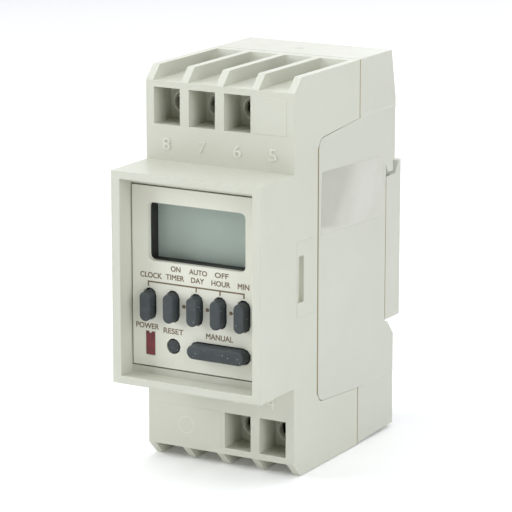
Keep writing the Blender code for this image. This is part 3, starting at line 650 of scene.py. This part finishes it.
def widen_seams(bm):
    """Breaks the edges beside the tongues and the rear seam, where the gap looks wide."""
    for y, width in ((CUT_OUT_Y, 0.42), (CASE_HIGH.y, 0.24)):
        bmesh.ops.bevel(
            bm, geom=[edge for edge in bm.edges if on_side_edge(edge, y)], offset=width,
            offset_type="OFFSET", segments=1, affect="EDGES", profile=0.5, material=-1,
            clamp_overlap=True,
        )


def make_housing():
    """Front and rear housings and the wall adapter, with their moulded edges rounded."""
    front = packed_shape("front_case")
    widen_seams(front)
    soften(front, 0.2, 3)
    make_piece("housing_front", front, "housing", HOUSING, ("front_case",))
    rear = packed_shape("rear_case")
    flush_label_recess(rear)
    step_in_sides(rear)
    soften(rear, 0.16, 3)
    make_piece("housing_rear", rear, "housing", REAR, ("rear_case",))
    adapter = packed_shape("surface_adapter")
    soften(adapter, 0.2, 3)
    make_piece("adapter_body", adapter, "housing", ADAPTER, ("surface_adapter",))


def make_housing_marks():
    """Raised terminal numbers, the ejector's ring and the plates over the unused places."""
    marks = bmesh.new()
    # Each number, with its left and right ends and its bottom and top.
    numbers = (
        ("8", -13.9, -12.05, 68.3, 70.85), ("7", -5.1, -3.35, 68.3, 70.85),
        ("6", 3.4, 5.2, 68.3, 70.85), ("5", 11.95, 13.75, 68.3, 70.85),
        ("3", 3.3, 5.0, 14.8, 17.35), ("4", 11.5, 13.4, 14.8, 17.35),
    )
    front = SHOULDER_Y - 0.17
    back = SHOULDER_Y + 0.05
    for text, x_low, x_high, z_low, z_high in numbers:
        merge(marks, word(text, x_low, x_high, z_low, z_high, front, back, 0.08))
    ring = (
        (SHOULDER_Y - 0.05, 1.93), (SHOULDER_Y - 0.05, 1.8),
        (SHOULDER_Y + 0.05, 1.74), (SHOULDER_Y + 0.05, 1.99),
    )
    merge(marks, spun(ring, "y", (-8.5, 0.0, 8.2)))
    # The numbers and the ring are painted lighter, as a highlight.
    make_piece("terminal_numbers", marks, "housing", RAISED_HIGHLIGHT, smooth=50)
    plates = bmesh.new()
    upper = ((7.95, 73.75), (16.1, 81.65), 0.08)
    lower = ((-16.2, 4.1), (0.1, 12.4), 0.03)
    for low, high, proud in (upper, lower):
        plate = box((low[0], SHOULDER_Y - proud, low[1]), (high[0], back + 0.05, high[1]))
        soften(plate, 0.8 * proud, 1)
        merge(plates, plate)
    make_piece("blanking_plates", plates, "housing", HOUSING)


def make_side_marks():
    """The line round each snap pocket, left by a loose part of the mould."""
    top = ((15.35, 51.1), (24.3, 51.25))
    bottom = ((15.35, 34.75), (24.3, 34.9))
    front = ((15.35, 34.75), (15.5, 51.25))
    for name, side in (("left", -1), ("right", 1)):
        lines = bmesh.new()
        near, far = sorted((side * (HALF - 0.05), side * (HALF + 0.045)))
        for low, high in (top, bottom, front):
            merge(lines, box((near, *low), (far, *high)))
        make_piece("mould_line_" + name, lines, "housing", HOUSING)


def make_top_mark():
    """The stub where the plastic was fed in, sheared off with a low rim on the top face."""
    top = spot("rear_case")[1].z
    stub = (
        (-0.02, 0.0), (-0.02, 0.55), (0.03, 0.7), (0.06, 0.78), (0.06, 0.95), (-0.05, 1.0),
        (-0.05, 0.0),
    )
    bm = spun(stub, "z", (-0.8, 50.4, top))
    make_piece("feed_mark", bm, "housing", REAR, smooth=40)


def make_seam_lips():
    """The tan painted shade and the lips inside the seams, which close them just under the
    surface.
    """
    seam_front = CASE_HIGH.y + 0.02
    seam_back = 2 * SEAM_Y - CASE_HIGH.y - 0.02
    deep = 0.1
    thick = 0.5
    inner = HALF - deep - thick
    upper_seam = ((seam_front, 73.6), (seam_back, CASE_HIGH.z - deep))
    lower_seam = ((seam_front, deep), (seam_back, 12.8))
    tongue_gap = ((CUT_OUT_Y, 15.6), (TONGUE_Y - 0.01, 70.0))
    adapter_gap = ((56.01, 26.2), (56.14, 57.4))
    # Dark tan strips just under the seams' surface, as painted shade in the gaps.
    shaded = bmesh.new()
    for side in (-1, 1):
        for (low, high), under in (
            (upper_seam, deep), (lower_seam, deep), (tongue_gap, deep), (adapter_gap, 0.03),
        ):
            near, far = sorted((side * (HALF - under), side * inner))
            merge(shaded, box((near, *low), (far, *high)))
    make_piece("seam_shade", shaded, "housing", SEAM_SHADE)
    clean = bmesh.new()
    for z in (0.4, CASE_HIGH.z - 0.4 - thick):
        merge(clean, box((-inner, seam_front, z), (inner, seam_back, z + thick)))
    # The tongues taper: the height of each slanted gap at the tongue's front, how far it
    # rises for each millimetre of depth, and the depth where it starts.
    bottom_gap = (14.375, -0.072, 27.0)
    top_gap = (71.675, 0.09, 35.0)
    for side in (-1, 1):
        near, far = sorted((side * (HALF - deep), side * (HALF - 0.7)))
        for z, slope, start in (bottom_gap, top_gap):
            strip = box((near, start, z - 0.07), (far, CASE_HIGH.y - 0.1, z + 0.07))
            for vert in strip.verts:
                vert.co.z += slope * (vert.co.y - TONGUE_Y)
            merge(clean, strip)
    make_piece("seam_lip", clean, "housing", REAR)


def make_driver_collars():
    """The lip round each screwdriver hole, at the back of its recess, painted lighter as a
    highlight.
    """
    lip = (
        (20.85, 2.12), (20.78, 2.2), (20.75, 2.3), (20.78, 2.4), (20.85, 2.48), (21.1, 2.52),
        (21.12, 2.75), (21.16, 2.8), (21.4, 2.82), (21.4, 2.12),
    )
    for label in TERMINALS:
        centre = middle("terminal_screw_" + label)
        bm = spun(lip, "y", (centre.x, 0.0, centre.z), steps=40)
        make_piece("driver_collar_" + label, bm, "housing", RAISED_HIGHLIGHT, smooth=50)


# Face panel, legends, keys, lamp and display

# Each word, with its left and right ends and its bottom and top in millimetres.
LEGENDS = (
    ("CLOCK", -13.75, -8.48, 42.65, 43.8), ("ON", -6.2, -3.87, 44.6, 45.7),
    ("TIMER", -7.43, -3.02, 42.75, 43.85), ("AUTO", -1.72, 2.59, 44.5, 45.6),
    ("DAY", -1.25, 1.85, 42.75, 43.85), ("OFF", 4.51, 7.77, 44.55, 45.65),
    ("HOUR", 3.69, 8.16, 42.72, 43.85), ("MIN", 10.03, 12.73, 42.75, 43.9),
    ("POWER", -14.9, -9.29, 31.5, 32.65), ("RESET", -8.1, -3.25, 31.05, 32.2),
    ("MANUAL", 2.33, 8.83, 31.05, 32.25),
)


def make_panel():
    """The matt plate in the bezel, with its openings."""
    panel = packed_shape("face_panel")
    soften(panel, 0.12, 2)
    make_piece("panel_plate", panel, "housing", PANEL, ("face_panel",))


def make_print():
    """Plain function words, the line that joins the keys and the dots between them."""
    ink = bmesh.new()
    front = PANEL_Y - 0.02
    back = PANEL_Y + 0.03
    # Each word is laid down four times, a little apart, as ink that has spread.
    spread = 0.032
    corners = ((-spread, -spread), (spread, -spread), (-spread, spread), (spread, spread))
    for text, x_low, x_high, z_low, z_high in LEGENDS:
        for layer, (x, z) in enumerate(corners):
            near = front - 0.003 * layer
            merge(ink, word(text, x_low + x, x_high + x, z_low + z, z_high + z, near, back))
    half_line = 0.17
    line_low = 41.8 - half_line
    merge(ink, box((-11.97, front, line_low), (11.65, back, 41.8 + half_line)))
    for x in (-11.8, -0.05, 5.74, 11.48):
        merge(ink, box((x - half_line, front, 40.8), (x + half_line, back, line_low)))
    for x in (-3.45, 2.3, 8.0):
        dot_end = x + 0.72
        merge(ink, box((x, front, 36.95), (dot_end, back, 37.7)))
        merge(ink, box((dot_end, front, 37.2), (x + 1.3, back, 37.45)))
    make_piece("panel_print", ink, "housing", INK)


def make_keys():
    """Rubber keys with a low crown and soft edges, on the flange that holds them in."""
    make_key("clock", 1.3, (0.0, 1.89), 1.28, -0.26)
    for name in ("timer", "day", "hour", "minute"):
        make_key(name, 1.3, (0.0, 1.86), 1.28, -0.12)
    make_key("reset", 1.42, (0.0, 0.0), 1.4)
    make_key("manual", 1.53, (5.42, 0.0), 1.5)


def make_key(name, radius, run, base, dropped=0.0):
    """One key: its cap, hanging a little low, its stem, its flange and its contact pin."""
    node = name + "_button"
    low, high = spot(node)
    centre = middle(node)
    front = low.y
    flange = base + 0.8
    pin = base - 0.5
    flange_front = 6.2
    flange_back = 7.2
    layers = [
        (front, radius * 0.6), (front + 0.01, radius * 0.78), (front + 0.035, radius * 0.87),
        (front + 0.08, radius * 0.925), (front + 0.15, radius * 0.965),
        (front + 0.25, radius * 0.99), (front + 0.4, radius), (flange_front - 0.1, base),
        (flange_front, base), (flange_front, flange), (flange_back, flange), (flange_back, pin),
        (high.y, pin),
    ]
    bm = layered(layers, run, 40)
    cap = [vert for vert in bm.verts if vert.co.y < front + 0.5]
    bmesh.ops.translate(bm, vec=(0.0, 0.0, dropped), verts=cap)
    bmesh.ops.translate(bm, vec=(centre.x, 0.0, centre.z), verts=bm.verts)
    make_piece(name + "_key", bm, node, RUBBER, (node,), smooth=40)


def make_lamp():
    """Rectangular lamp, notched at the top where its frame shows."""
    low, high = spot("power_led")
    centre = middle("power_led")
    body = box((low.x, low.y, low.z), (high.x, 9.6, high.z))
    soften(body, 0.1, 3)
    pin = 0.25
    for z in (centre.z - 1.27, centre.z + 1.27):
        merge(body, box((centre.x - pin, 9.5, z - pin), (centre.x + pin, high.y, z + pin)))
    make_piece("lamp", body, "housing", LENS, ("power_led",))
    notch = layered([(low.y - 0.04, 0.26), (low.y, 0.3), (low.y + 0.3, 0.3)], segments=24)
    bmesh.ops.translate(notch, vec=(centre.x, 0.0, high.z - 0.05), verts=notch.verts)
    make_piece("lamp_notch", notch, "housing", PANEL, smooth=40)


def make_display():
    """Black frame, the display cell's front film and the clear pane over it."""
    surround = packed_shape("lcd_frame")
    soften(surround, 0.1, 2)
    make_piece("display_frame", surround, "housing", BLACK, ("lcd_frame",))
    # The film lies between the pane's back and the cell's front.
    polariser = box((-11.9, 8.86, 46.36), (11.9, 9.25, 58.99))
    make_piece("display_polariser", polariser, "housing", LCD)
    pane = packed_shape("display_window")
    soften(pane, 0.12, 2)
    make_piece("display_pane", pane, "housing", PANE, ("display_window",))


def make_label():
    """The blank film, laid on by hand and so not quite level."""
    centre = middle("rating_label")
    film = box((-0.02, -13.85, -6.8), (0.05, 13.85, 6.8))
    corners = [edge for edge in film.edges if abs(edge.verts[0].co.x - edge.verts[1].co.x) > 0.01]
    bmesh.ops.bevel(
        film, geom=corners, offset=0.4, segments=4, affect="EDGES", profile=0.5, material=-1,
    )
    bmesh.ops.rotate(film, matrix=Matrix.Rotation(math.radians(-2.4), 3, "X"), verts=film.verts)
    bmesh.ops.translate(film, vec=(HALF, centre.y - 0.1, centre.z), verts=film.verts)
    make_piece("label_film", film, "housing", LABEL, ("rating_label",))


# Terminals

def make_terminals():
    """Screw, rising cage and bus bar of each live place."""
    for label in TERMINALS:
        make_screw(label)
        node = "clamp_cage_" + label
        cage = packed_shape(node)
        soften(cage, 0.12, 2)
        make_piece("cage_" + label, cage, node, ZINC, (node,))
        node = "terminal_bar_" + label
        bar = packed_shape(node)
        soften(bar, 0.1, 2)
        make_piece("bar_" + label, bar, "housing", BRASS, (node,))


def make_screw(label):
    """Captive screw with a combined cross and slot in its head, and a rolled thread."""
    node = "terminal_screw_" + label
    low, high = spot(node)
    centre = Vector((middle(node).x, 0.0, middle(node).z))
    head_radius = 2.6
    core_radius = 1.25
    half_slot = 0.42
    under_head = 25.1
    crown = (
        (low.y, 2.15), (low.y + 0.12, 2.4), (low.y + 0.3, 2.55), (low.y + 1.35, head_radius),
    )
    head = bmesh.new()
    for across, up in ((1, 1), (-1, 1), (-1, -1), (1, -1)):
        quarter = layered(crown)
        for kept in (Vector((across, 0, 0)), Vector((0, 0, up))):
            cut = bmesh.ops.bisect_plane(
                quarter, geom=quarter.verts[:] + quarter.edges[:] + quarter.faces[:],
                plane_co=kept * half_slot, plane_no=kept, clear_inner=True,
            )
            rim = [item for item in cut["geom_cut"] if isinstance(item, bmesh.types.BMEdge)]
            bmesh.ops.edgenet_fill(quarter, edges=rim)
        merge(head, quarter)
    shaft = (
        (low.y + 1.3, head_radius), (under_head, head_radius), (under_head, core_radius),
        (high.y - 0.5, core_radius), (high.y, 0.9),
    )
    merge(head, layered(shaft))
    merge(head, rolled_thread(under_head + 0.4, high.y - 0.6))
    bmesh.ops.translate(head, vec=centre, verts=head.verts)
    make_piece("screw_" + label, head, node, ZINC, (node,), smooth=35)


def rolled_thread(start, end):
    """One V-shaped ridge wound along y."""
    pitch = 0.6
    root = 1.2
    crest = 1.5
    per_turn = 24
    bm = bmesh.new()
    profile = ((start, root), (start + pitch * 0.45, crest), (start + pitch * 0.9, root))
    verts = [bm.verts.new((radius, y, 0.0)) for y, radius in profile]
    edges = [bm.edges.new(pair) for pair in zip(verts, verts[1:] + verts[:1])]
    steps = int((end - start - pitch) / pitch * per_turn)
    made = bmesh.ops.spin(
        bm, geom=verts + edges, cent=(0.0, 0.0, 0.0), axis=(0.0, 1.0, 0.0),
        dvec=(0.0, pitch / per_turn, 0.0), angle=math.tau * steps / per_turn, steps=steps,
        use_merge=False, use_duplicate=False,
    )
    close_ends(bm, edges, made)
    return bm


def close_ends(bm, first, made):
    """Fills both ends of a wound wire or ridge, and turns its faces outwards."""
    last = [item for item in made["geom_last"] if isinstance(item, bmesh.types.BMEdge)]
    bmesh.ops.edgenet_fill(bm, edges=first)
    bmesh.ops.edgenet_fill(bm, edges=last)
    bmesh.ops.recalc_face_normals(bm, faces=bm.faces)


# Rail fixing

def make_latch():
    """The sliding latch, with its moulded edges rounded."""
    latch = packed_shape("rail_latch")
    soften(latch, 0.15, 2)
    make_piece("latch_slider", latch, "rail_latch", LATCH, ("rail_latch",))


def make_spring():
    """Compression spring of round wire, which the real latch squashes as it slides; here it keeps
    one shape, on a mesh of its own.
    """
    low, high = spot("latch_spring")
    centre = middle("latch_spring")
    wire = 0.22
    turns = 8
    steps = turns * 28
    radius = (high.x - low.x) / 2 - wire
    rise = high.z - low.z - 2 * wire
    bm = bmesh.new()
    circle = bmesh.ops.create_circle(bm, segments=10, radius=wire)
    verts = circle["verts"]
    edges = list({edge for vert in verts for edge in vert.link_edges})
    bmesh.ops.rotate(bm, matrix=Matrix.Rotation(math.radians(90), 3, "X"), verts=verts)
    bmesh.ops.translate(bm, vec=(radius, 0.0, 0.0), verts=verts)
    made = bmesh.ops.spin(
        bm, geom=verts + edges, cent=(0.0, 0.0, 0.0), axis=(0.0, 0.0, 1.0),
        dvec=(0.0, 0.0, rise / steps), angle=math.tau * turns, steps=steps,
        use_merge=False, use_duplicate=False,
    )
    close_ends(bm, edges, made)
    bmesh.ops.translate(bm, vec=(centre.x, centre.y, low.z + wire), verts=bm.verts)
    spring = make_piece(
        "coil_spring", bm, "housing", SPRING, ("latch_spring",), smooth=60,
    )
    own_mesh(spring)


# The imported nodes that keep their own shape, and what each is made of

KEPT = {
    "lcd_cell": LCD, "contact_strip": STRIP, "keypad_mat": RUBBER, "display_board": BOARD,
    "power_board": BOARD, "controller_chip": BLACK, "quartz_crystal": TINNED,
    "battery_holder": BLACK, "backup_battery": TINNED, "board_connector": BLACK,
    "mains_capacitor": FILM_BOX, "smoothing_capacitor": SLEEVE, "varistor": EPOXY,
    "fuse_resistor": CEMENT, "relay_base": BLACK, "relay_cover": RELAY, "relay_coil": COPPER,
    "relay_yoke": TINNED, "relay_armature": TINNED, "relay_contact": BRASS,
}


def finish_packed_nodes():
    """Gives each of those nodes its material."""
    for name, material in KEPT.items():
        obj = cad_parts[name]
        obj.data.materials.clear()
        obj.data.materials.append(material)


# Studio

CAMERA_PLACE = Vector((0.2930, -0.5159, 0.1832))
CAMERA_AIM = Vector((0.00267, -0.0065, 0.04473))
LIGHT_AIM = Vector((0.0, 0.0, 0.04))
DAYLIGHT = "F8FAFF"
# Name, place, size in metres and watts.
LIGHTS = (
    ("overhead", (0.0, 0.0, 0.8), (1.0, 1.0), 6.7),
    ("above the back", (0.0, 0.7, 0.6), (0.9, 0.9), 2.3),
    ("left", (-0.8, -0.4, 0.35), (0.5, 0.6), 7.9),
    ("right", (0.8, -0.4, 0.35), (0.5, 0.6), 4.55),
    ("far right", (0.9, 0.0, 0.35), (0.8, 0.8), 0.7),
)


def stand(name, data, location, aim):
    """Puts a camera or a light in the scene, turned towards a point."""
    made = bpy.data.objects.new(name, data)
    bpy.context.scene.collection.objects.link(made)
    made.location = location
    made.rotation_euler = (aim - made.location).to_track_quat("-Z", "Y").to_euler()
    return made


def flat_sheet(name, size, turn=0.0, centre=(0.0, 0.0, 0.0)):
    """A flat sheet, sized, turned and placed in its mesh."""
    bm = bmesh.new()
    bmesh.ops.create_grid(bm, x_segments=1, y_segments=1, size=0.5)
    bmesh.ops.scale(bm, vec=(*size, 1.0), verts=bm.verts)
    bmesh.ops.rotate(bm, matrix=Matrix.Rotation(math.radians(turn), 3, "Z"), verts=bm.verts)
    bmesh.ops.translate(bm, vec=centre, verts=bm.verts)
    mesh = bpy.data.meshes.new(name)
    bm.to_mesh(mesh)
    bm.free()
    sheet = bpy.data.objects.new(name, mesh)
    bpy.context.scene.collection.objects.link(sheet)
    return sheet


def make_camera():
    """A long lens at the height and side that show the face and the right side."""
    data = bpy.data.cameras.new("camera")
    data.lens = 197.4
    data.sensor_width = 36.0
    data.clip_start = 0.01
    bpy.context.scene.camera = stand("camera", data, CAMERA_PLACE, CAMERA_AIM)


def make_light(name, location, size, power):
    """A soft rectangular light."""
    data = bpy.data.lights.new(name, "AREA")
    data.shape = "RECTANGLE"
    data.size, data.size_y = size
    data.energy = power
    data.color = hex_colour(DAYLIGHT)[:3]
    stand(name, data, location, LIGHT_AIM)


def make_flag():
    """A grey card on the floor behind, which only the glossy label and sides pick up."""
    just_above = cad_box[0][2] + 0.001
    card = flat_sheet("flag", (0.27, 0.15), 66.0, (0.2469, 0.2905, just_above))
    material, tree, shader, where = new_material("Grey card")
    tone = add_node(
        tree, "ShaderNodeTexNoise", {"Vector": where, "Scale": per_mm(30), "Detail": 2.0},
    )
    grey = two_tone(tree, tone.outputs["Fac"], "20201C", "2A2A25")
    tree.links.new(grey, shader.inputs["Base Color"])
    shader.inputs["Roughness"].default_value = 0.9
    card.data.materials.append(material)
    card.visible_camera = False
    card.visible_diffuse = False
    card.visible_shadow = False


def make_floor():
    """Seamless paper that glows a little, and more far off, so that no horizon shows."""
    floor = flat_sheet("floor", (6.0, 6.0))
    floor.location.z = cad_box[0][2] - 0.0002
    material, tree, shader, where = new_material("Seamless white paper")
    # Paper fibre is drawn as clouds of 2 mm, much coarser than it is.
    fibre = add_node(
        tree, "ShaderNodeTexNoise", {"Vector": where, "Scale": per_mm(2), "Detail": 4.0},
    )
    tone = two_tone(tree, fibre.outputs["Fac"], "F8F8F6", "FCFCFA")
    tree.links.new(tone, shader.inputs["Base Color"])
    away = add_node(tree, "ShaderNodeVectorMath", {0: where}, operation="LENGTH")
    lit = add_node(
        tree, "ShaderNodeMapRange",
        {"Value": away.outputs["Value"], "From Min": 0.3, "From Max": 1.2,
         "To Min": 0.08, "To Max": 0.4},
    )
    distant = add_node(
        tree, "ShaderNodeMapRange",
        {"Value": away.outputs["Value"], "From Min": 0.75, "From Max": 1.25,
         "To Min": 0.0, "To Max": 0.65},
    )
    glow = add_node(
        tree, "ShaderNodeMath", {0: lit.outputs["Result"], 1: distant.outputs["Result"]},
        operation="ADD",
    )
    tree.links.new(glow.outputs["Value"], shader.inputs["Emission Strength"])
    shader.inputs["Emission Color"].default_value = hex_colour("FFFFFF")
    shader.inputs["Roughness"].default_value = 0.9
    shader.inputs["Specular IOR Level"].default_value = 0.1
    floor.data.materials.append(material)


def make_tent():
    """The white surroundings, which are seen and reflected but light nothing."""
    world = bpy.data.worlds.new("tent")
    world.use_nodes = True
    background = world.node_tree.nodes["Background"]
    background.inputs["Color"].default_value = hex_colour("FFFFFF")
    background.inputs["Strength"].default_value = 1.2
    world.cycles_visibility.diffuse = False
    bpy.context.scene.world = world
    bpy.context.scene.view_settings.view_transform = "Standard"


def make_studio():
    """Pale floor in a white tent, with soft lights overhead and on both sides."""
    make_floor()
    make_tent()
    make_flag()
    for name, location, size, power in LIGHTS:
        make_light(name, location, size, power)


make_camera()
make_studio()
make_housing()
make_housing_marks()
make_side_marks()
make_top_mark()
make_seam_lips()
make_driver_collars()
make_panel()
make_print()
make_keys()
make_lamp()
make_display()
make_label()
make_terminals()
make_latch()
make_spring()
finish_packed_nodes()
